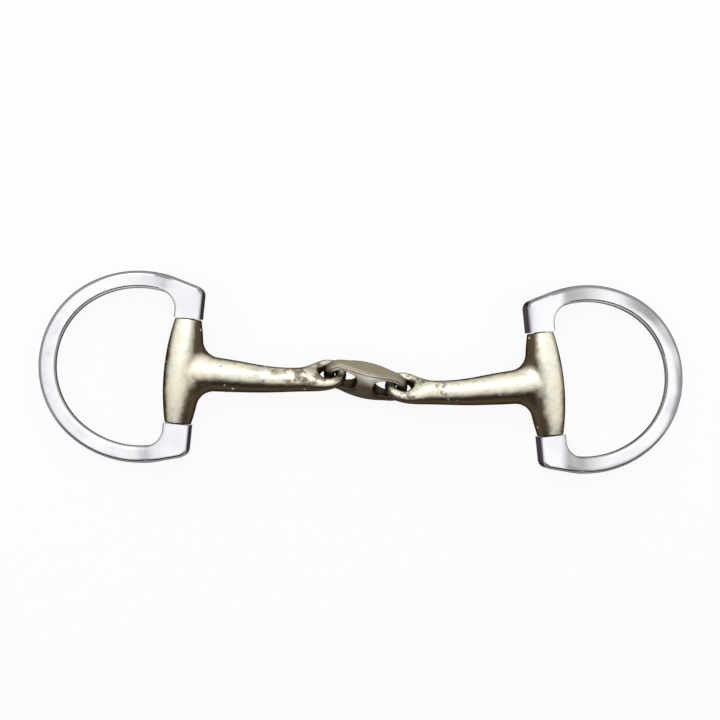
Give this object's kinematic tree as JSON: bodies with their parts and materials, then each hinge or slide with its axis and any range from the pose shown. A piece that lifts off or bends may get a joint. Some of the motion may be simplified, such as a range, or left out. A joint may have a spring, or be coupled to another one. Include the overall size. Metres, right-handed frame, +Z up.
{
  "type": "eggbutt snaffle bit",
  "caption": "Horse's eggbutt snaffle: D-shaped cheek rings hinged on barrels, arms joined by a lozenge link, for carrying bridle straps and reins.",
  "frame": {"origin": "on the table, under the middle of the whole bit as it lies", "axes": "+X along the mouthpiece from the left cheek to the right one, +Y along the barrels, +Z up from the table"},
  "size_m": [0.2442, 0.0764, 0.0142],
  "materials": {
    "stainless": "polished stainless steel with fine scratches",
    "pin_steel": "ground stainless steel, slightly dulled",
    "warm_alloy": "cast German silver, satin polished, with small pits and tarnish",
    "link_alloy": "cast German silver, worn greyer, satin polished"
  },
  "bodies": {
    "link": {"centre_link": "link_alloy"},
    "arm_left": {"mouthpiece_left": "warm_alloy"},
    "cheek_left": {"cheek_ring_left": "stainless", "hinge_pin_left": "pin_steel"},
    "arm_right": {"mouthpiece_right": "warm_alloy"},
    "cheek_right": {"cheek_ring_right": "stainless", "hinge_pin_right": "pin_steel"}
  },
  "joints": [
    {"name": "fold_left", "type": "hinge", "parent": "link", "child": "arm_left", "pos_m": [-0.01355, 0.0005, 0.0069], "axis": [0.1651, 0.6876, 0.7071], "range_deg": [-50, 50]},
    {"name": "swing_left", "type": "hinge", "parent": "arm_left", "child": "cheek_left", "pos_m": [-0.06805, 0.00076, 0.0071], "axis": [0.1019, 0.9948, 0], "range_deg": [-164, 164]},
    {"name": "fold_right", "type": "hinge", "parent": "link", "child": "arm_right", "pos_m": [0.01358, -0.00601, 0.0069], "axis": [0.1651, 0.6876, 0.7071], "range_deg": [-50, 50]},
    {"name": "swing_right", "type": "hinge", "parent": "arm_right", "child": "cheek_right", "pos_m": [0.06805, -0.00411, 0.0071], "axis": [-0.1019, 0.9948, 0], "range_deg": [-164, 164]}
  ]
}
